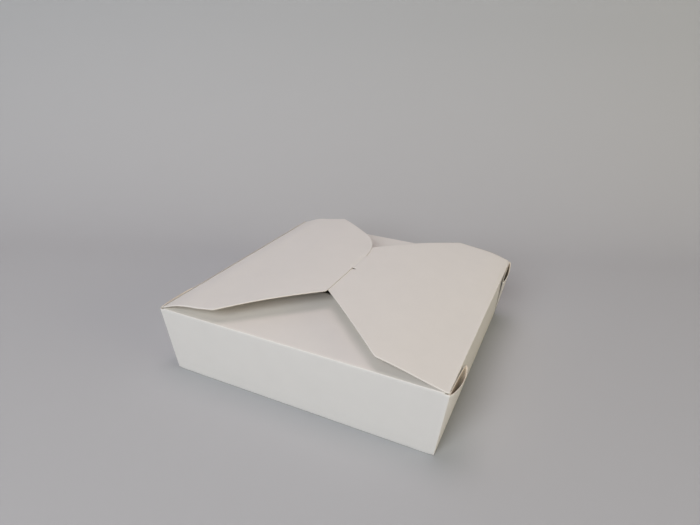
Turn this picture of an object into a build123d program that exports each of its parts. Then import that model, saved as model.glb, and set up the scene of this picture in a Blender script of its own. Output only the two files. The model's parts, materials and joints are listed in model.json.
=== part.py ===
from build123d import *
from math import asin, atan2, cos, degrees, hypot, radians, sin
import os

# A takeout food box folded from one sheet of paperboard. Origin at the middle of the underside,
# +X from the left end wall to the right one, +Y from the front wall to the back one, +Z up.

# Overall sizes, outside, mm
rim_length = 200.0      # between the two end walls' folds, along X
rim_width = 198.0       # between the front and back walls' folds, along Y
height = 50.0           # underside to rim
wall_inset = 5.0        # how far each wall leans in from the rim to the base
board = 0.4             # paperboard thickness

# Corner webs, each folded in half and lying outside an end wall
web_fold = 56.0         # length of the diagonal fold from the base corner to the web's tip
web_gap = 0.3           # air between the layers
web_spread = 2.5        # degrees that the folded web springs away from its wall
web_dip = 0.8           # how far the web's cut top edge sags below a straight line

# Two top flaps that arch over the box and meet across its middle
crown_rise = 14.0       # how far the arch stands above the rim
flap_side_gap = 0.5     # flap's side set in from the rim at its hinge
shoulder_in = 44.0      # hinge to the shoulder, where the corner is cut away
shoulder_half = 98.0    # half the flap's width at the shoulder
lock_half = 49.0        # half the left flap's lock edge
front_lock_radius = 1.5
back_lock_radius = 62.0  # rounds the edge off all the way from the tab's end
lap = 12.0              # right flap's run under the left one
front_set_in = 3.0      # right flap's side set in from the left one's lock corner
back_set_in = 6.5
lap_radius = 6.0
flap_clear = 0.3        # left flap to whatever it folds or lies on

# Locking tab on the left flap and its slit in the right one
tab_width = 25.0
tab_centre = 8.0        # towards the back
tab_depth = 8.5
tab_radius = 4.0
slit_end_clear = 0.6    # slit's ends to the tab's sides

# Two under flaps, folded in from the front and back walls
under_depth = 68.0
under_set_in = 2.0      # side set in from the end wall's fold, at the rim
under_taper = 9.0       # how much each side runs in by the free edge
under_radius = 10.0
under_rise = 2.0        # degrees above level

trim_margin = 2.0       # how far a shape reaches past what it is cut off by
same_place = 0.01       # corners nearer than this are the same corner

base_length = rim_length - 2 * wall_inset
base_width = rim_width - 2 * wall_inset
half_length = rim_length / 2
half_width = rim_width / 2
corner_edge = hypot(wall_inset, wall_inset, height)
web_half_angle = 45 - degrees(asin(wall_inset / corner_edge))
arch_radius = (half_length**2 + crown_rise**2) / (2 * crown_rise)
arch_centre = height + crown_rise - arch_radius


def wall(bottom_left, bottom_right, top_right, top_left, inward):
    outline = Polyline(bottom_left, bottom_right, top_right, top_left, close=True)
    return extrude(make_face(outline), amount=board, dir=inward)


def end_wall():
    x0 = base_length / 2
    y0 = base_width / 2
    x1 = half_length
    y1 = half_width
    inward = (-height, 0, wall_inset)
    return wall((x0, -y0, 0), (x0, y0, 0), (x1, y1, height), (x1, -y1, height), inward)


def front_wall():
    # Its ends reach across the first gap, into the folded webs
    reach = web_gap + board / 2
    x0 = base_length / 2 + reach
    y0 = base_width / 2
    x1 = half_length + reach
    y1 = half_width
    inward = (0, height, wall_inset)
    return wall((-x0, -y0, 0), (x0, -y0, 0), (x1, -y1, height), (-x1, -y1, height), inward)


def web():
    # The web at the right end wall's front corner: two layers joined along the diagonal fold.
    corner = Vector(base_length / 2, -base_width / 2, 0)
    rim_corner = Vector(half_length, -half_width, height)
    along = (rim_corner - corner).normalized()
    outward = Vector(height, 0, -wall_inset).normalized().rotate(Axis(corner, along), -web_spread)
    layers = Plane(corner + outward * web_gap, x_dir=along, z_dir=outward)
    # In this plane x runs up the corner and -y runs along the end wall
    turn = radians(web_half_angle)
    tip = (web_fold * cos(turn), -web_fold * sin(turn))
    middle = ((corner_edge + tip[0]) / 2 - web_dip, tip[1] / 2)
    outline = [
        Line((0, 0), tip),
        ThreePointArc(tip, middle, (corner_edge, 0)),
        Line((corner_edge, 0), (corner_edge, trim_margin)),
        Line((corner_edge, trim_margin), (0, trim_margin)),
        Line((0, trim_margin), (0, 0)),
    ]
    folded = extrude(layers * make_face(outline), amount=2 * board + web_gap)
    inset = board / sin(turn)
    clear = corner_edge + web_fold
    pocket_outline = Polyline(
        (inset, -board),
        (inset + clear * cos(turn), -board - clear * sin(turn)),
        (inset + clear * cos(turn), -board),
        close=True,
    )
    between = Plane(layers.origin + outward * board, x_dir=along, z_dir=outward)
    pocket = extrude(between * make_face(pocket_outline), amount=web_gap)
    return folded - pocket


def trim_prism():
    # Everything up to the rim between the front and back walls' outer faces
    long = rim_length + 2 * web_fold
    section = Polyline(
        (-base_width / 2, 0),
        (base_width / 2, 0),
        (half_width, height),
        (-half_width, height),
        close=True,
    )
    return extrude(Plane.YZ * make_face(section), amount=long / 2, both=True)


def tray():
    base = extrude(Rectangle(base_length, base_width), amount=board)
    right_end = end_wall()
    front = front_wall()
    front_right = web()
    right_webs = [front_right, mirror(front_right, about=Plane.XZ)]
    webs = right_webs + [mirror(each, about=Plane.YZ) for each in right_webs]
    ends = [right_end, mirror(right_end, about=Plane.YZ)]
    sides = [front, mirror(front, about=Plane.XZ)]
    folded = base.fuse(*ends, *sides, *webs)
    return folded & trim_prism()


def arch_band():
    # One board thickness along the arch, as wide as the rim, from one end wall to the other
    half_turn = degrees(asin(half_length / arch_radius))
    outer = CenterArc((0, arch_centre), arch_radius, 90 - half_turn, 2 * half_turn)
    inner = CenterArc((0, arch_centre), arch_radius - board, 90 - half_turn, 2 * half_turn)
    ends = [Line(outer @ 0, inner @ 0), Line(outer @ 1, inner @ 1)]
    section = make_face([outer, inner, *ends])
    return extrude(Plane.XZ * section, amount=half_width, both=True)


def cut_to_plan(band, plan):
    prism = extrude(Pos(0, 0, height) * plan, amount=2 * crown_rise, both=True)
    return band & prism


def corners_near(plan, x, y):
    return plan.vertices().filter_by(lambda v: abs(v.X - x) < same_place and abs(v.Y - y) < same_place)


def left_flap_plan():
    shoulder = half_length - shoulder_in
    hinge_half = half_width - flap_side_gap
    plan = make_face(Polyline(
        (-half_length, -hinge_half),
        (-shoulder, -shoulder_half),
        (0, -lock_half),
        (0, lock_half),
        (-shoulder, shoulder_half),
        (-half_length, hinge_half),
        close=True,
    ))
    plan = fillet(corners_near(plan, 0, -lock_half), front_lock_radius)
    return fillet(corners_near(plan, 0, lock_half), back_lock_radius)


def lap_half(set_in):
    # Half width at the end of the lap, where the slanting side has run on past the middle
    at_middle = lock_half - set_in
    slope = (shoulder_half - at_middle) / (half_length - shoulder_in)
    return at_middle - lap * slope


def right_flap_plan():
    shoulder = half_length - shoulder_in
    hinge_half = half_width - flap_side_gap
    plan = make_face(Polyline(
        (half_length, -hinge_half),
        (shoulder, -shoulder_half),
        (-lap, -lap_half(front_set_in)),
        (-lap, lap_half(back_set_in)),
        (shoulder, shoulder_half),
        (half_length, hinge_half),
        close=True,
    ))
    plan = fillet(corners_near(plan, -lap, -lap_half(front_set_in)), lap_radius)
    return fillet(corners_near(plan, -lap, lap_half(back_set_in)), lap_radius)


def slit():
    # Room for the tab, which passes down just left of the lock edge
    wide = board + 2 * flap_clear
    long = tab_width + 2 * slit_end_clear
    middle = Pos(flap_clear - wide / 2, tab_centre, height + crown_rise)
    return middle * Box(wide, long, 2 * crown_rise)


def right_flap():
    return cut_to_plan(arch_band(), right_flap_plan()) - slit()


def under_flap():
    # The front one: hinged at the front wall's rim and lying a little above level
    rim_half = half_length - under_set_in
    free_half = rim_half - under_taper
    outline = make_face(Polyline(
        (-rim_half, 0),
        (rim_half, 0),
        (free_half, under_depth),
        (-free_half, under_depth),
        close=True,
    ))
    outline = fillet(corners_near(outline, free_half, under_depth), under_radius)
    outline = fillet(corners_near(outline, -free_half, under_depth), under_radius)
    up = (0, -sin(radians(under_rise)), cos(radians(under_rise)))
    face = Plane((0, -half_width, height), x_dir=(1, 0, 0), z_dir=up)
    return extrude(face * outline, amount=-board)


def lock_tab():
    # Follows the circle that it travels round the left flap's hinge, so it leaves the slit cleanly
    lift = board + flap_clear
    hinge = (-half_length, height + flap_clear + board / 2)
    top = (0, height + crown_rise + lift)
    reach = hypot(top[0] - hinge[0], top[1] - hinge[1])
    start = degrees(atan2(top[1] - hinge[1], top[0] - hinge[0]))
    turn = degrees(tab_depth / reach)
    outer = CenterArc(hinge, reach, start - turn, turn)
    inner = CenterArc(hinge, reach - board, start - turn, turn)
    ends = [Line(outer @ 0, inner @ 0), Line(outer @ 1, inner @ 1)]
    band = extrude(Plane.XZ * make_face([outer, inner, *ends]), amount=half_width, both=True)
    front = tab_centre - tab_width / 2
    back = tab_centre + tab_width / 2
    low = top[1] - tab_depth
    face = make_face(Polyline(
        (front, low), (back, low), (back, top[1]), (front, top[1]), close=True))
    face = fillet(face.vertices().group_by(Axis.Y)[0], tab_radius)
    return band & extrude(Plane.YZ * face, amount=board + tab_depth, both=True)


def carton():
    front_under = under_flap()
    back_under = mirror(front_under, about=Plane.XZ)
    return tray().fuse(front_under, back_under, right_flap())


def left_flap():
    lift = Pos(0, 0, board + flap_clear)
    return (lift * cut_to_plan(arch_band(), left_flap_plan())).fuse(lock_tab())


os.makedirs("parts", exist_ok=True)
export_step(carton(), "parts/carton.step")
export_step(left_flap(), "parts/left_flap.step")
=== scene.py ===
import json
from collections import namedtuple
from math import atan2, cos, exp, pi, radians, sin, sqrt, tan

import bmesh
import bpy
from mathutils import Matrix, Vector


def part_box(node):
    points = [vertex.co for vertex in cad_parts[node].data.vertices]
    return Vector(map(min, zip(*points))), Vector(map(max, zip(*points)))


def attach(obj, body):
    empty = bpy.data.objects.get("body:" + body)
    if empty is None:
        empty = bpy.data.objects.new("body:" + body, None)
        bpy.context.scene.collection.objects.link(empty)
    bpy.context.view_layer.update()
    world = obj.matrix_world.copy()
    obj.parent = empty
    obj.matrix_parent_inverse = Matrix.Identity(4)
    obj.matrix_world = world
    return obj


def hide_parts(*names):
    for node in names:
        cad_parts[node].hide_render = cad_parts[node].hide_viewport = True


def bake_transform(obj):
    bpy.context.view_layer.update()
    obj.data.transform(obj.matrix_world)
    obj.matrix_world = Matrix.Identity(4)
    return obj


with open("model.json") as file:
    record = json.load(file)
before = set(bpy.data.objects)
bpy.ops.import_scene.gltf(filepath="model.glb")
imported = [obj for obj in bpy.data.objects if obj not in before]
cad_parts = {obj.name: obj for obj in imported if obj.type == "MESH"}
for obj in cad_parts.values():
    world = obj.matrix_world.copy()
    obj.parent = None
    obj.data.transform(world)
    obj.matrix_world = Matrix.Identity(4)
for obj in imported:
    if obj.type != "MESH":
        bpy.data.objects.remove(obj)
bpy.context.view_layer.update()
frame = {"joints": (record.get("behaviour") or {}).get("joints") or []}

mm = 0.001
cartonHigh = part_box("carton")[1]
hinge = Vector(frame["joints"][0]["pos_m"])

# The folded sheet's main places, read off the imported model
sheet = {
    "board": 0.4 * mm,
    "foldRadius": 0.5 * mm,
    "wallInset": 5 * mm,
    "halfLength": -hinge.x,
    "halfWidth": cartonHigh.y,
    "rim": hinge.z - 0.5 * mm,
    "crown": cartonHigh.z,
}
board = sheet["board"]
halfLength = sheet["halfLength"]
halfWidth = sheet["halfWidth"]
rim = sheet["rim"]
fold = sheet["foldRadius"]


def smooth(low, high, value):
    t = min(1.0, max(0.0, (value - low) / (high - low)))
    return t * t * (3 - 2 * t)


def mix(a, b, t):
    return a + (b - a) * t


def spaced(low, high, count, extra=()):
    step = (high - low) / (count - 1)
    inner = [low + step * i for i in range(1, count - 1)]
    kept = [s for s in inner if all(abs(s - e) > step * 0.35 for e in extra)]
    return sorted([low, high] + kept + list(extra))


def newPiece(name, bm, materials, body, replaced=None):
    bmesh.ops.remove_doubles(bm, verts=bm.verts, dist=1e-6)
    bmesh.ops.dissolve_degenerate(bm, edges=bm.edges, dist=1e-7)
    crease = bm.verts.layers.float.new("crease")
    for v in bm.verts:
        v[crease] = creaseAt(v.co)
    thinned = len(bm.verts.layers.deform) > 0
    mesh = bpy.data.meshes.new(name)
    bm.to_mesh(mesh)
    bm.free()
    mesh.shade_smooth()
    piece = bpy.data.objects.new(name, mesh)
    bpy.context.scene.collection.objects.link(piece)
    for material in materials:
        mesh.materials.append(material)
    shell = piece.modifiers.new("boardThickness", "SOLIDIFY")
    shell.thickness = board
    shell.offset = -1
    shell.material_offset = 1
    shell.material_offset_rim = 2
    if thinned:
        piece.vertex_groups.new(name="fullBoard")
        shell.vertex_group = "fullBoard"
    if body:
        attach(piece, body)
    if replaced:
        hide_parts(replaced)
    return piece


def creaseAt(p):
    # 1 on a pressed fold, fading to 0 within a millimetre or so; it places the painted highlight
    # and the coating wear along the folds
    x, y, z = abs(p.x), abs(p.y), p.z
    outX = halfLength - sheet["wallInset"] * (rim - z) / rim
    outY = halfWidth - sheet["wallInset"] * (rim - z) / rim
    rimFold = exp(-((z - rim) / (0.9 * mm)) ** 2) * max(
        exp(-((y - halfWidth) / (1.1 * mm)) ** 2), exp(-((x - halfLength) / (1.1 * mm)) ** 2))
    baseFold = 0.6 * exp(-(z / (1.2 * mm)) ** 2) * (y > outY - 2 * mm or x > outX - 2 * mm)
    corner = 0.7 * exp(-((outX - x) / (0.9 * mm)) ** 2) * exp(-((outY - y) / (0.9 * mm)) ** 2)
    return max(rimFold, baseFold, corner if z < rim else 0.0)


def addRows(bm, rows, closed=False, skip=None, weights=None):
    deform = bm.verts.layers.deform.verify() if weights else None
    made = [[bm.verts.new(p) for p in row] for row in rows]
    if weights:
        for row, shares in zip(made, weights):
            for v, share in zip(row, shares):
                v[deform][0] = share
    for r, (a, b) in enumerate(zip(made, made[1:])):
        for c in range(len(a) if closed else len(a) - 1):
            d = (c + 1) % len(a)
            if skip is None or not skip(r, c):
                bm.faces.new((a[c], a[d], b[d], b[c]))
    return made


def faceUp(bm):
    total = sum((f.normal.z * f.calc_area() for f in bm.faces), 0.0)
    if total < 0:
        bmesh.ops.reverse_faces(bm, faces=bm.faces)


finish = {
    "face": (0.735, 0.715, 0.695, 1.0),
    # The board's inside faces show only in hollows: their warm, slightly darker tone is painted
    # shade for the web pockets and the undersides of the flaps
    "inside": (0.760, 0.690, 0.590, 1.0),
    "cut": (0.690, 0.645, 0.580, 1.0),
    "speck": (0.34, 0.29, 0.25, 1.0),
    # Lighter colour along the pressed folds: partly a painted highlight on the rounded fold, partly
    # real wear of the coating there
    "foldSheenAndWear": (0.86, 0.835, 0.80, 1.0),
    "roughness": 0.52,
    "insideRoughness": 0.42,
    "cutRoughness": 0.8,
    "gloss": 0.42,
    "reliefDepth": 0.08 * mm,
}


def nodeGroup(name, inputs, outputs):
    group = bpy.data.node_groups.new(name, "ShaderNodeTree")
    for label, kind, value in inputs:
        socket = group.interface.new_socket(label, in_out="INPUT", socket_type=kind)
        socket.default_value = value
    for label, kind in outputs:
        group.interface.new_socket(label, in_out="OUTPUT", socket_type=kind)
    start = group.nodes.new("NodeGroupInput")
    end = group.nodes.new("NodeGroupOutput")
    return group, start, end


def addNode(tree, kind, settings=None, **sockets):
    node = tree.nodes.new(kind)
    for key, value in (settings or {}).items():
        setattr(node, key, value)
    for label, value in sockets.items():
        socket = node.inputs[label.replace("_", " ")]
        if isinstance(value, bpy.types.NodeSocket):
            tree.links.new(value, socket)
        else:
            socket.default_value = value
    return node


def mathNode(tree, operation, a, b=0.0):
    node = tree.nodes.new("ShaderNodeMath")
    node.operation = operation
    for socket, value in zip(node.inputs, (a, b)):
        if isinstance(value, bpy.types.NodeSocket):
            tree.links.new(value, socket)
        else:
            socket.default_value = value
    return node.outputs[0]


def makeFibreGroup():
    # Cloudy pulp under the coating, fine fibre relief and a few specks
    group, start, end = nodeGroup(
        "fibreMottle",
        [("Cloud Scale", "NodeSocketFloat", 70.0), ("Fibre Scale", "NodeSocketFloat", 900.0),
         ("Speck Scale", "NodeSocketFloat", 95.0)],
        [("Cloud", "NodeSocketFloat"), ("Relief", "NodeSocketFloat"), ("Speck", "NodeSocketFloat")])
    place = addNode(group, "ShaderNodeTexCoord").outputs["Object"]
    cloud = addNode(group, "ShaderNodeTexNoise", Vector=place, Scale=start.outputs["Cloud Scale"],
                    Detail=4.0, Roughness=0.6)
    stretch = addNode(group, "ShaderNodeMapping", Vector=place, Scale=(1.0, 0.35, 1.0))
    fibre = addNode(group, "ShaderNodeTexNoise", Vector=stretch.outputs[0],
                    Scale=start.outputs["Fibre Scale"], Detail=3.0, Roughness=0.65)
    dots = addNode(group, "ShaderNodeTexVoronoi", Vector=place, Scale=start.outputs["Speck Scale"])
    near = addNode(group, "ShaderNodeMapRange", Value=dots.outputs["Distance"], From_Min=0.018,
                   From_Max=0.035, To_Min=1.0, To_Max=0.0)
    pick = addNode(group, "ShaderNodeSeparateColor", Color=dots.outputs["Color"])
    rare = mathNode(group, "GREATER_THAN", pick.outputs[0], 0.93)
    group.links.new(cloud.outputs[0], end.inputs["Cloud"])
    group.links.new(fibre.outputs[0], end.inputs["Relief"])
    group.links.new(mathNode(group, "MULTIPLY", near.outputs[0], rare), end.inputs["Speck"])
    return group


def makeCreaseGroup():
    # How close the board is to a pressed fold, broken up a little along its length: the mask for
    # the painted fold highlight and the coating wear there
    group, start, end = nodeGroup(
        "creaseSheenAndWear", [("Break Up", "NodeSocketFloat", 260.0)], [("Mask", "NodeSocketFloat")])
    place = addNode(group, "ShaderNodeTexCoord").outputs["Object"]
    painted = addNode(group, "ShaderNodeAttribute", {"attribute_name": "crease"})
    noise = addNode(group, "ShaderNodeTexNoise", Vector=place, Scale=start.outputs["Break Up"],
                    Detail=3.0)
    broken = addNode(group, "ShaderNodeMapRange", Value=noise.outputs[0], From_Min=0.3,
                     From_Max=0.7, To_Min=0.45, To_Max=1.0)
    mask = mathNode(group, "MULTIPLY", painted.outputs["Fac"], broken.outputs[0])
    group.links.new(mask, end.inputs["Mask"])
    return group


def makeBoard(name, colour, roughness, speckles, sheenAndWearStrength):
    material = bpy.data.materials.new(name)
    material.use_nodes = True
    tree = material.node_tree
    shader = tree.nodes["Principled BSDF"]
    fibre = addNode(tree, "ShaderNodeGroup", {"node_tree": fibreGroup})
    crease = addNode(tree, "ShaderNodeGroup", {"node_tree": creaseGroup})
    dark = [c * 0.988 for c in colour[:3]] + [1.0]
    light = [min(1.0, c * 1.01) for c in colour[:3]] + [1.0]
    tone = addNode(tree, "ShaderNodeMapRange", Value=fibre.outputs["Cloud"], From_Min=0.3,
                   From_Max=0.7)
    base = addNode(tree, "ShaderNodeMix", {"data_type": "RGBA"})
    tree.links.new(tone.outputs[0], base.inputs[0])
    base.inputs[6].default_value = dark
    base.inputs[7].default_value = light
    speck = addNode(tree, "ShaderNodeMix", {"data_type": "RGBA"})
    tree.links.new(mathNode(tree, "MULTIPLY", fibre.outputs["Speck"], speckles), speck.inputs[0])
    tree.links.new(base.outputs[2], speck.inputs[6])
    speck.inputs[7].default_value = finish["speck"]
    # Paints the folds lighter: a painted highlight on the fold's crest, plus the coating's wear
    foldSheenAndWear = addNode(tree, "ShaderNodeMix", {"data_type": "RGBA"})
    tree.links.new(mathNode(tree, "MULTIPLY", crease.outputs["Mask"], sheenAndWearStrength), foldSheenAndWear.inputs[0])
    tree.links.new(speck.outputs[2], foldSheenAndWear.inputs[6])
    foldSheenAndWear.inputs[7].default_value = finish["foldSheenAndWear"]
    tree.links.new(foldSheenAndWear.outputs[2], shader.inputs["Base Color"])
    rough = addNode(tree, "ShaderNodeMapRange", Value=fibre.outputs["Cloud"], From_Min=0.25,
                    From_Max=0.75, To_Min=roughness - 0.05, To_Max=roughness + 0.06)
    tree.links.new(rough.outputs[0], shader.inputs["Roughness"])
    cloudRelief = mathNode(tree, "MULTIPLY", fibre.outputs["Cloud"], 2.0)
    height = mathNode(tree, "ADD", fibre.outputs["Relief"], cloudRelief)
    bump = addNode(tree, "ShaderNodeBump", Strength=0.10, Distance=finish["reliefDepth"],
                   Height=height)
    tree.links.new(bump.outputs[0], shader.inputs["Normal"])
    shader.inputs["Specular IOR Level"].default_value = finish["gloss"]
    return material


fibreGroup = makeFibreGroup()
creaseGroup = makeCreaseGroup()
faceBoard = makeBoard("coatedFace", finish["face"], finish["roughness"], 0.55, 0.35)
# Inside faces: a lined board, with its warm tone standing in for the shade in the hollows where it
# shows
insideShadeBoard = makeBoard("linedInsideWithPaintedShade", finish["inside"], finish["insideRoughness"], 0.3, 0.2)
cutBoard = makeBoard("cutEdge", finish["cut"], finish["cutRoughness"], 0.0, 0.0)
boards = [faceBoard, insideShadeBoard, cutBoard]
print("finishes made")


# Outline that both top flaps share, measured from the seam and the middle line
flaps = {
    "shoulderX": 56 * mm,
    "shoulderY": 98 * mm,
    "hingeY": 98.5 * mm,
    "lockY": 48.5 * mm,
}
rightFlap = {
    "lap": 11 * mm,
    "lapCorner": 6 * mm,
    "frontSetIn": 3 * mm,
    "backSetIn": 6.5 * mm,
    "foldTurn": pi / 2 + radians(8.745),
    "foldReach": 1.2 * mm,
    "pressedDown": 1.0 * mm,
    "sprungUp": 1.1 * mm,
}
slitPlace = {
    "front": -4.7 * mm,
    "back": 20.7 * mm,
    "left": -1.1 * mm,
    "right": 0.12 * mm,
    "notch": 1.6 * mm,
    "notchRight": 2.4 * mm,
}
archRise = sheet["crown"] - rim
archRadius = (halfLength ** 2 + archRise ** 2) / (2 * archRise)


def archHeight(x):
    return sheet["crown"] - archRadius + sqrt(archRadius ** 2 - x * x)


def sideOutline(x, setIn=0.0, corner=0.0):
    # Half width of a top flap, x in from the seam; corner rounds the end of the lock edge
    shoulderX = flaps["shoulderX"]
    if x >= shoulderX:
        t = (x - shoulderX) / (halfLength - shoulderX)
        return mix(flaps["shoulderY"], flaps["hingeY"], t)
    lockY = flaps["lockY"] - setIn
    slope = (flaps["shoulderY"] - lockY) / shoulderX
    turn = atan2(1.0, slope)
    run = corner * tan(turn / 2)
    if 0 <= x < run * sin(turn):
        return lockY - run + sqrt(max(0.0, corner ** 2 - (corner - x) ** 2))
    return lockY + slope * x


# Walls, webs and base go round the box as one ring of stations
walls = {
    "frontBow": 0.3 * mm,
    "endBow": 1.1 * mm,
    "rings": 26,
    "stations": 44,
    "baseFold": 0.5 * mm,
    "baseLift": 0.05 * mm,
    "cornerLift": 0.5 * mm,
    "cornerReach": 2.2 * mm,
}
# Front and back ones alike, from the fold to the free edge
underFlaps = {
    "half": halfLength - 2 * mm,
    "depth": 68 * mm,
    "corner": 10 * mm,
    "taper": 9 * mm,
    "lift": radians(2.0),
    "rows": 34,
}
# What all four webs share; the falls say how late their top edges drop towards the tip
webShape = {
    "sag": 0.8 * mm,
    "cornerStep": 1.0 * mm,
    "layerGap": 0.06 * mm,
    "wallGap": 0.15 * mm,
    "outerFall": 1.5,
    "innerFall": 3.0,
}


def webSize(run, bulge, tip, inner, drop):
    # All in mm: how far it runs along the end wall, how far its layers belly out, and its tip's
    # stand-off and drop below the rim
    return {"run": run * mm, "bulge": bulge * mm, "tip": tip * mm, "inner": inner * mm,
            "drop": drop * mm}


# One folded web at each corner, by the sides (x, y) that it stands at
webs = {
    (1, -1): webSize(run=37.0, bulge=2.9, tip=2.1, inner=0.2, drop=3.5),
    (1, 1): webSize(run=36.1, bulge=1.7, tip=2.2, inner=0.1, drop=3.5),
    (-1, -1): webSize(run=36.1, bulge=2.5, tip=3.6, inner=0.6, drop=1.0),
    (-1, 1): webSize(run=36.1, bulge=1.8, tip=2.9, inner=0.4, drop=1.4),
}
station = namedtuple("station", "kind bottom top toward bow")


def webPath(shape):
    # (run along the end wall, stand-off from it, how the top edge falls) at the rim: out from the
    # corner, round the diagonal fold, and back to where the web turns into the end wall
    step = webShape["cornerStep"]
    run = shape["run"]
    tip = shape["tip"]
    outerFall = webShape["outerFall"]
    innerFall = webShape["innerFall"]
    path = []
    for i in range(1, 5):
        a = i / 4 * pi / 2
        path.append((fold - fold * cos(a), step - fold + fold * sin(a), outerFall))
    for i in range(1, 23):
        u = i / 23
        out = mix(step, tip, u) + shape["bulge"] * sin(pi * u) ** 0.6
        path.append((mix(fold, run - fold, u), out, outerFall))
    gap = board + webShape["layerGap"]
    for i in range(7):
        a = i / 6 * pi
        fall = mix(outerFall, innerFall, i / 6)
        path.append((run - fold + fold * sin(a), tip - gap + gap * cos(a), fall))
    wallGap = webShape["wallGap"]
    for i in range(1, 20):
        u = 1 - i / 20
        out = mix(wallGap, tip - 2 * gap, u ** 3) + shape["inner"] * sin(pi * u)
        path.append((mix(2 * fold, run - fold, u), out, innerFall))
    for i in range(4):
        a = i / 4 * pi
        path.append((2 * fold - wallGap * sin(a), 0.08 * mm + 0.07 * mm * cos(a), innerFall))
    return path


def webPoint(sx, sy, run, out, fall):
    shape = webs[(sx, sy)]
    u = min(1.0, run / shape["run"])
    z = rim - fold - shape["drop"] * u ** fall - webShape["sag"] * sin(pi * u)
    lean = sheet["wallInset"] * (rim - z) / rim
    y = halfWidth - run - lean * max(0.0, 1 - 2 * u)
    return Vector((sx * (halfLength - lean + out), sy * y, z))


def lockHalf(side):
    # Half width of the right flap at the seam
    return flaps["lockY"] - rightFlap["backSetIn" if side > 0 else "frontSetIn"]


def blunt(d):
    # The base's corners don't come down to a sharp point
    return walls["cornerLift"] * exp(-(d / walls["cornerReach"]) ** 2)


def frontStations(wallX):
    # Stations also stand where the under flaps start
    near = [wallX - d for d in (0.8 * mm, 4.2 * mm, 6.5 * mm)] + [underFlaps["half"]]
    return spaced(-wallX, wallX, walls["stations"], [sx * x for sx in (-1, 1) for x in near])


def endStations(endY):
    # Stations also stand where the slit and its notch end
    marks = (slitPlace["front"] - slitPlace["notch"], slitPlace["front"], slitPlace["back"])
    slitLines = [y * flaps["hingeY"] / lockHalf(y) for y in marks]
    near = [sy * (endY - d) for sy in (-1, 1) for d in (1.2 * mm, 2.6 * mm)]
    return spaced(-endY, endY, walls["stations"], near + slitLines)


def ringStations():
    baseX = halfLength - sheet["wallInset"]
    baseY = halfWidth - sheet["wallInset"]
    top = rim - fold
    wallX = halfLength + webShape["cornerStep"] - fold
    endY = halfWidth - 2 * fold
    xs = frontStations(wallX)
    ys = endStations(endY)
    ring = []

    def addSide(sy, forward):
        for x in xs if forward else reversed(xs):
            bottom = Vector((x * baseX / wallX, sy * baseY, blunt(wallX - abs(x))))
            bow = walls["frontBow"] * cos(pi / 2 * x / wallX)
            ring.append(station("side", bottom, Vector((x, sy * halfWidth, top)),
                                Vector((0, sy, 0)), bow))

    def addEnd(sx, forward):
        for y in ys if forward else reversed(ys):
            bottom = Vector((sx * baseX, y * baseY / endY, blunt(endY - abs(y))))
            bow = walls["endBow"] * cos(pi / 2 * y / endY) ** 0.7
            ring.append(station("end", bottom, Vector((sx * halfLength, y, top)),
                                Vector((sx, 0, 0)), bow))

    def addWeb(sx, sy, outward):
        path = webPath(webs[(sx, sy)])
        last = len(path) - 1
        for i, (run, out, fall) in enumerate(path if outward else reversed(path)):
            turn = (i if outward else last - i) / last * pi / 2
            bottom = Vector((sx * baseX, sy * baseY, blunt(0.0)))
            ring.append(station("web", bottom, webPoint(sx, sy, run, out, fall),
                                Vector((sx * sin(turn), sy * cos(turn), 0)), 0.0))

    addSide(-1, True)
    addWeb(1, -1, True)
    addEnd(1, True)
    addWeb(1, 1, False)
    addSide(1, False)
    addWeb(-1, 1, True)
    addEnd(-1, False)
    addWeb(-1, -1, False)
    return ring


def ringPoint(place, v):
    belly = place.bow * sin(pi * min(1.0, v)) * (0.4 + 0.6 * v)
    return place.bottom.lerp(place.top, v) + place.toward * belly


def trayRows(ring):
    # The webs run to a point at the base, so their board thins out with them
    rows = []
    weights = []
    bend = walls["baseFold"]
    lift = walls["baseLift"]
    for i in range(12):
        share = (i + 1) / 13
        rows.append([Vector((p.bottom.x * share, p.bottom.y * share,
                             (lift + p.bottom.z) * share ** 5)) for p in ring])
        weights.append([1.0] * len(ring))
    for i in range(6):
        a = i / 6 * pi / 2
        up = Vector((0, 0, lift + bend * (1 - cos(a))))
        rows.append([p.bottom - p.toward * bend * (1 - sin(a)) + up for p in ring])
        weights.append([0.05 if p.kind == "web" else 1.0 for p in ring])
    start = (bend + lift) / rim
    for i in range(walls["rings"] + 1):
        v = mix(start, 1.0, (i / walls["rings"]) ** 1.15)
        rows.append([ringPoint(p, v) for p in ring])
        weights.append([v if p.kind == "web" else 1.0 for p in ring])
    return rows, weights


def roundedEnd(over, radius):
    # How far an outline has drawn in, over past where its corner starts
    return radius - sqrt(max(0.0, radius ** 2 - over ** 2)) if over > 0 else 0.0


def underFlapRows(ring, sy):
    # Carries on from the front or back wall's top over a rounded fold
    flap = underFlaps
    reach = flap["half"] + 1e-6
    xs = [p.top.x for p in ring
          if p.kind == "side" and p.top.y * sy > 0 and abs(p.top.x) <= reach]
    rows = []
    for i in range(6):
        a = i / 5 * pi / 2
        y = sy * (halfWidth - fold + fold * cos(a))
        rows.append([Vector((x, y, rim - fold + fold * sin(a))) for x in xs])
    for i in range(1, flap["rows"] + 1):
        s = flap["depth"] * (1 - (1 - i / flap["rows"]) ** 1.25)
        drawnIn = roundedEnd(s - (flap["depth"] - flap["corner"]), flap["corner"])
        free = flap["half"] - flap["taper"] * s / flap["depth"] - drawnIn
        y = sy * (halfWidth - fold - s * cos(flap["lift"]))
        rows.append([Vector((x / reach * free, y, rim + s * sin(flap["lift"]))) for x in xs])
    return rows


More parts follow.
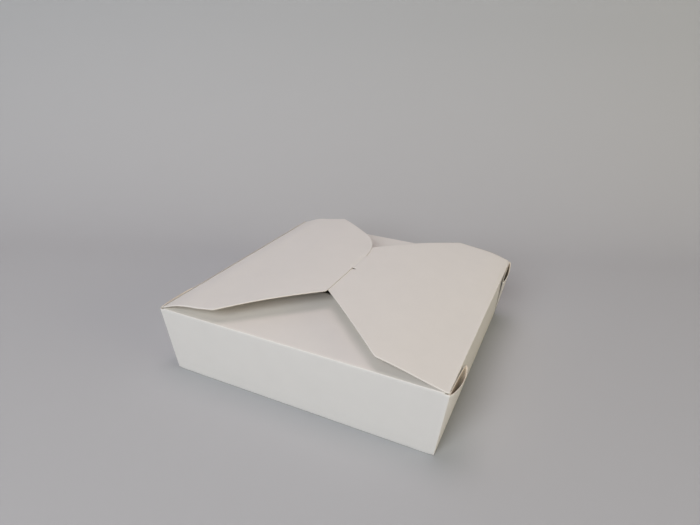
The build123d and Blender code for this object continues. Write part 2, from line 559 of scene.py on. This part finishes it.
def rightFlapRows(ring):
    ys = [p.top.y for p in ring
          if p.kind == "end" and p.top.x > 0 and abs(p.top.y) <= flaps["hingeY"]]
    sides = [y / max(ys) for y in ys]
    rows = []
    for i in range(6):
        a = i / 5 * rightFlap["foldTurn"]
        x = halfLength - fold + fold * cos(a)
        rows.append([Vector((x, y, rim - fold + fold * sin(a))) for y in ys])
    lapEnd = -rightFlap["lap"]
    xs = spaced(lapEnd, halfLength - rightFlap["foldReach"], 66,
                (slitPlace["left"], slitPlace["right"], slitPlace["notchRight"]))
    xs.reverse()
    for x in xs:
        drawnIn = roundedEnd(lapEnd + rightFlap["lapCorner"] - x, rightFlap["lapCorner"])
        front = sideOutline(x, rightFlap["frontSetIn"]) - drawnIn
        back = sideOutline(x, rightFlap["backSetIn"]) - drawnIn
        row = [(side, side * (back if side > 0 else front)) for side in sides]
        rows.append([Vector((x, y, rightHeight(x, y, side))) for side, y in row])
    return rows, [None] * 6 + xs, sides


def hump(x, middle, reach):
    return exp(-((x - middle) / reach) ** 2)


def rightHeight(x, y, side):
    # The arch, a little full near the fold at the back, and pressed down under the other flap
    z = archHeight(x) - 0.05 * mm
    back = smooth(-0.3, 0.9, side)
    z += (rightFlap["sprungUp"] * back - 0.4 * mm * (1 - back)) * hump(x, 86 * mm, 13 * mm)
    z += (-0.7 * back + 0.4 * (1 - back)) * mm * hump(x, 52 * mm, 16 * mm) * side * side
    byTab = smooth(slitPlace["front"] - 3 * mm, slitPlace["front"], y)
    byTab *= smooth(slitPlace["back"] + 6 * mm, slitPlace["back"], y)
    start = mix(-5 * mm, -0.2 * mm, byTab)
    return z - rightFlap["pressedDown"] * smooth(start, start - 5 * mm, x)


def inSlit(x, side):
    y = side * lockHalf(side)
    front = slitPlace["front"]
    if slitPlace["left"] < x < slitPlace["right"] and front < y < slitPlace["back"]:
        return True
    inNotch = slitPlace["left"] < x < slitPlace["notchRight"]
    return inNotch and front - slitPlace["notch"] < y < front


def buildCarton():
    ring = ringStations()
    bm = bmesh.new()
    rows, weights = trayRows(ring)
    made = addRows(bm, rows, closed=True, weights=weights)
    bm.faces.new(list(reversed(made[0])))
    for sy in (-1, 1):
        rows = underFlapRows(ring, sy)
        addRows(bm, rows, weights=[[1.0] * len(row) for row in rows])
    rows, xs, sides = rightFlapRows(ring)

    def skip(r, c):
        if xs[r] is None or xs[r + 1] is None:
            return False
        return inSlit((xs[r] + xs[r + 1]) / 2, (sides[c] + sides[c + 1]) / 2)

    addRows(bm, rows, skip=skip, weights=[[1.0] * len(row) for row in rows])
    bmesh.ops.remove_doubles(bm, verts=bm.verts, dist=1e-6)
    bmesh.ops.recalc_face_normals(bm, faces=bm.faces)
    return newPiece("cartonSheet", bm, boards, "carton", "carton")


leftFlap = {
    "overlapLift": 0.46 * mm,
    "backCorner": 64 * mm,
    "frontCorner": 1.5 * mm,
    "fullNearFold": 1.2 * mm,
    "backSprungUp": 1.1 * mm,
    "frontPressedDown": 0.4 * mm,
}
lockTab = {
    "front": -4.5 * mm,
    "back": 19.5 * mm,
    "depth": 8 * mm,
    "corner": 4 * mm,
    "bend": 0.45 * mm,
    "turn": radians(86),
    "dip": 0.46 * mm,
}


def leftHeight(x, side):
    # The arch again, lying over the right flap, with the back corner sprung up a little
    z = archHeight(x) + mix(leftFlap["overlapLift"], 0.0, smooth(-60 * mm, -98 * mm, x))
    z += leftFlap["fullNearFold"] * hump(x, -86 * mm, 11 * mm)
    back = smooth(-0.2, 0.95, side)
    backPart = smooth(-16 * mm, -55 * mm, x) * smooth(-100 * mm, -78 * mm, x)
    z += leftFlap["backSprungUp"] * back * backPart
    frontPart = smooth(-30 * mm, -56 * mm, x) * smooth(-80 * mm, -66 * mm, x)
    return z - leftFlap["frontPressedDown"] * (1 - back) * frontPart


def leftFlapPoint(x, side):
    # The board dips towards the locking tab, which pulls it down
    front = sideOutline(-x, corner=leftFlap["frontCorner"])
    back = sideOutline(-x, corner=leftFlap["backCorner"])
    y = mix(-front, back, (side + 1) / 2)
    byTab = smooth(lockTab["front"] - 1.2 * mm, lockTab["front"] + 0.4 * mm, y)
    byTab *= smooth(lockTab["back"] + 2.5 * mm, lockTab["back"] - 0.5 * mm, y)
    dip = lockTab["dip"] * byTab * smooth(-4 * mm, 0.0, x)
    return Vector((x, y, leftHeight(x, side) - dip))


def lockTabRows(edge):
    # Turns down from the lock edge, then narrows round its corners
    bend = lockTab["bend"]
    rows = [edge]
    for i in range(1, 6):
        a = i / 5 * lockTab["turn"]
        turned = Vector((bend * sin(a), 0, bend * cos(a) - bend))
        rows.append([p + turned for p in edge])
    top = rows[-1]
    middle = (lockTab["front"] + lockTab["back"]) / 2
    half = (lockTab["back"] - lockTab["front"]) / 2
    for i in range(1, 12):
        down = lockTab["depth"] * i / 11
        pull = roundedEnd(down - (lockTab["depth"] - lockTab["corner"]), lockTab["corner"])
        rows.append([Vector((p.x + down * 0.06, middle + (p.y - middle) * (half - pull) / half,
                             p.z - down)) for p in top])
    return rows


def buildLeftFlap():
    nearLock = [-0.02 * mm * i ** 2.2 for i in range(1, 16)]
    xs = spaced(-halfLength + fold, 0.0, 58, nearLock)
    lockBack = sideOutline(0.0, corner=leftFlap["backCorner"])
    lockFront = sideOutline(0.0, corner=leftFlap["frontCorner"])
    tabSides = [(lockTab[end] + lockFront) / (lockBack + lockFront) * 2 - 1
                for end in ("front", "back")]
    sides = spaced(-1.0, 1.0, 96, tabSides)
    rows = [[leftFlapPoint(x, side) for side in sides] for x in xs]
    bm = bmesh.new()
    addRows(bm, rows)
    edge = [p for p, side in zip(rows[-1], sides)
            if tabSides[0] - 1e-6 <= side <= tabSides[1] + 1e-6]
    addRows(bm, lockTabRows(edge))
    bmesh.ops.remove_doubles(bm, verts=bm.verts, dist=1e-6)
    bmesh.ops.recalc_face_normals(bm, faces=bm.faces)
    faceUp(bm)
    return newPiece("leftFlapSheet", bm, boards, "left_flap", "left_flap")


foldStrip = {"rows": 9, "stations": 60, "top": 0.4 * mm}


def buildFoldStrip():
    # The rounded fold between the left wall and the left flap, built as it lies at rest
    half = flaps["hingeY"]
    edge = -halfLength + fold
    rows = []
    for i in range(foldStrip["rows"]):
        t = i / (foldStrip["rows"] - 1)
        x = mix(-halfLength, mix(-halfLength, edge, t), t)
        row = []
        for side in spaced(-1.0, 1.0, foldStrip["stations"]):
            top = leftHeight(edge, side)
            row.append(Vector((x, side * half, mix(mix(rim - fold, top, t), top, t))))
        rows.append(row)
    bm = bmesh.new()
    addRows(bm, rows)
    faceUp(bm)
    piece = newPiece("leftFoldStrip", bm, boards, None)
    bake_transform(piece)
    return piece


cartonSheet = buildCarton()
print("carton sheet", len(cartonSheet.data.polygons))
leftFlapSheet = buildLeftFlap()
print("left flap", len(leftFlapSheet.data.polygons))
leftFoldStrip = buildFoldStrip()
print("fold strip", len(leftFoldStrip.data.polygons))


view = {
    "place": (0.1404, -0.3219, 0.2241),
    "azimuth": 24.277,
    "elevation": 24.211,
    "roll": 1.806,
    "lens": 26.26,
    "sensor": 36.0,
    "clipStart": 0.01,
}


def makeCamera():
    az, el, roll = (radians(view[k]) for k in ("azimuth", "elevation", "roll"))
    ahead = Vector((-sin(az) * cos(el), cos(az) * cos(el), -sin(el)))
    level = Vector((cos(az), sin(az), 0))
    upright = level.cross(ahead)
    right = level * cos(roll) + upright * sin(roll)
    up = upright * cos(roll) - level * sin(roll)
    turn = Matrix((right, up, -ahead)).transposed()
    data = bpy.data.cameras.new("camera")
    data.lens = view["lens"]
    data.sensor_width = view["sensor"]
    data.clip_start = view["clipStart"]
    camera = bpy.data.objects.new("camera", data)
    camera.matrix_world = Matrix.Translation(view["place"]) @ turn.to_4x4()
    bpy.context.scene.collection.objects.link(camera)
    bpy.context.scene.camera = camera


room = {
    "paper": (0.470, 0.480, 0.502, 1.0),
    "paperRoughness": 0.85,
    "paperGloss": 0.2,
    "world": (0.95, 0.96, 1.0, 1.0),
    "worldLevel": 0.09,
    "frontReach": 1.6,
    "backReach": 0.17,
    "sweep": 0.28,
    "sweepTurn": radians(84),
    "height": 1.6,
    "lampAim": (0, 0, 0.03),
    "halfWidth": 2.2,
}


def makeFloor():
    # A sheet of pale paper that lies under the box and sweeps up behind it
    az = radians(view["azimuth"])
    ahead = Vector((-sin(az), cos(az), 0))
    across = Vector((cos(az), sin(az), 0))
    line = [(-room["frontReach"], 0.0), (0.0, 0.0)]
    for i in range(33):
        a = i / 32 * room["sweepTurn"]
        line.append((room["backReach"] + room["sweep"] * sin(a), room["sweep"] * (1 - cos(a))))
    line.append((line[-1][0] + room["height"] * cos(room["sweepTurn"]), room["height"]))
    bm = bmesh.new()
    aside = across * room["halfWidth"]
    addRows(bm, [[ahead * d + aside * side + Vector((0, 0, z)) for side in (-1, 1)]
                 for d, z in line])
    mesh = bpy.data.meshes.new("floor")
    bm.to_mesh(mesh)
    bm.free()
    mesh.shade_smooth()
    floor = bpy.data.objects.new("floor", mesh)
    bpy.context.scene.collection.objects.link(floor)
    material = bpy.data.materials.new("palePaper")
    material.use_nodes = True
    shader = material.node_tree.nodes["Principled BSDF"]
    shader.inputs["Roughness"].default_value = room["paperRoughness"]
    shader.inputs["Base Color"].default_value = room["paper"]
    shader.inputs["Specular IOR Level"].default_value = room["paperGloss"]
    mesh.materials.append(material)


def makeWorld():
    world = bpy.data.worlds.new("softRoom")
    bpy.context.scene.world = world
    world.use_nodes = True
    light = world.node_tree.nodes["Background"]
    light.inputs["Color"].default_value = room["world"]
    light.inputs["Strength"].default_value = room["worldLevel"]


lamps = [
    {"name": "frontLight", "place": (0.0, -1.55, 0.98), "size": 1.1, "power": 22.0,
     "colour": (0.975, 1.0, 1.0)},
    {"name": "topLight", "place": (-0.2, 0.1, 1.75), "size": 1.1, "power": 8.4,
     "colour": (1.0, 0.84, 0.82)},
    {"name": "rightLight", "place": (1.8, -0.1, 0.4), "size": 1.1, "power": 9.8,
     "colour": (1.0, 0.88, 0.57)},
]


def makeLamps():
    for lamp in lamps:
        data = bpy.data.lights.new(lamp["name"], "AREA")
        data.shape = "DISK"
        data.size = lamp["size"]
        data.energy = lamp["power"]
        data.color = lamp["colour"]
        light = bpy.data.objects.new(lamp["name"], data)
        light.location = lamp["place"]
        aim = Vector(room["lampAim"]) - light.location
        light.rotation_euler = aim.to_track_quat("-Z", "Y").to_euler()
        bpy.context.scene.collection.objects.link(light)


makeCamera()
makeFloor()
makeWorld()
makeLamps()
bpy.context.scene.view_settings.view_transform = "Standard"
print("camera, floor and lights placed")
